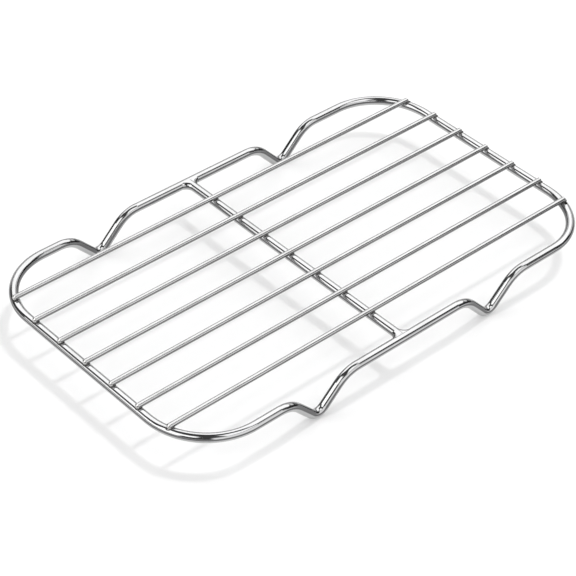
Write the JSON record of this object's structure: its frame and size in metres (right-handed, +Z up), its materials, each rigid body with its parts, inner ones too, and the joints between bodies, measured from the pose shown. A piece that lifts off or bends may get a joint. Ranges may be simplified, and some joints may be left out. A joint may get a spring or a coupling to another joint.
{
  "type": "roasting rack",
  "caption": "Low wire roasting rack: slim parallel rods welded across a rounded frame of thicker bent wire, with a cross bar and V-shaped feet bent into its long sides.",
  "frame": {"origin": "on the plane the feet stand on, under the middle of the perimeter frame", "axes": "+X along the rods, +Y along the cross bar, +Z up from the feet to the rods"},
  "size_m": [0.2286, 0.136, 0.019],
  "materials": {
    "frame_wire": "polished",
    "rod_wire": "polished"
  },
  "bodies": {
    "root": {"perimeter_frame": "frame_wire", "cross_bar": "frame_wire", "rod_1": "rod_wire", "rod_2": "rod_wire", "rod_3": "rod_wire", "rod_4": "rod_wire", "rod_5": "rod_wire", "rod_6": "rod_wire", "rod_7": "rod_wire"}
  },
  "joints": []
}
